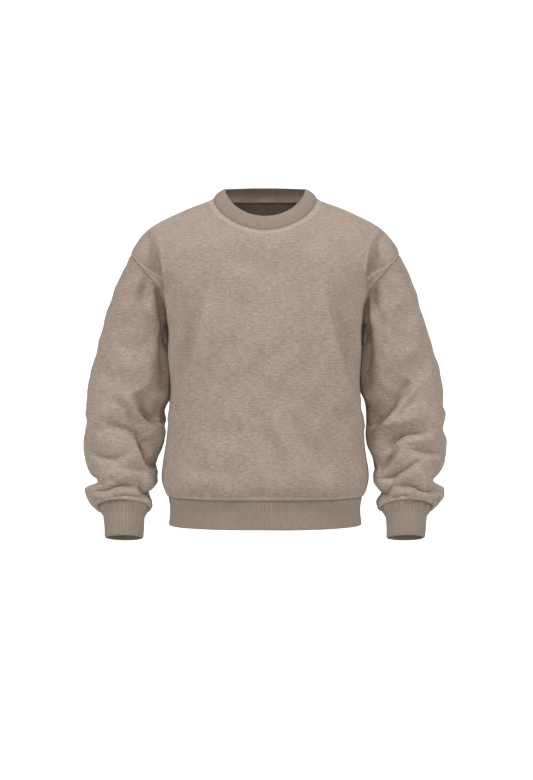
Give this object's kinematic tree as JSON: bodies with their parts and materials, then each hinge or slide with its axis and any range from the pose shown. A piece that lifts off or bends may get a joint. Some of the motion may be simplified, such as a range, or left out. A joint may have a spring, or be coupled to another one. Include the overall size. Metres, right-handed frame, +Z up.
{
  "type": "crewneck sweater",
  "caption": "Loose crewneck sweater in heavy fleece with ribbed collar, cuffs and hem, filled out as if worn and hollow all through.",
  "frame": {"origin": "midway between the two points where the shoulder seams meet the neckline, where the garment hangs on its wearer's shoulders", "axes": "+Z up, the front faces -Y, and the wearer's left is +X"},
  "size_m": [0.7174, 0.273, 0.7108],
  "materials": {
    "fleece": "brushed heather fleece, matte",
    "rib": "one by one rib knit, matte",
    "tape": "plain twill tape, matte"
  },
  "bodies": {
    "root": {"front": "fleece", "back": "fleece", "sleeve_left": "fleece", "sleeve_right": "fleece", "cuff_left": "rib", "cuff_right": "rib", "hem_rib": "rib", "neck_rib": "rib", "neck_tape": "tape"}
  },
  "joints": []
}
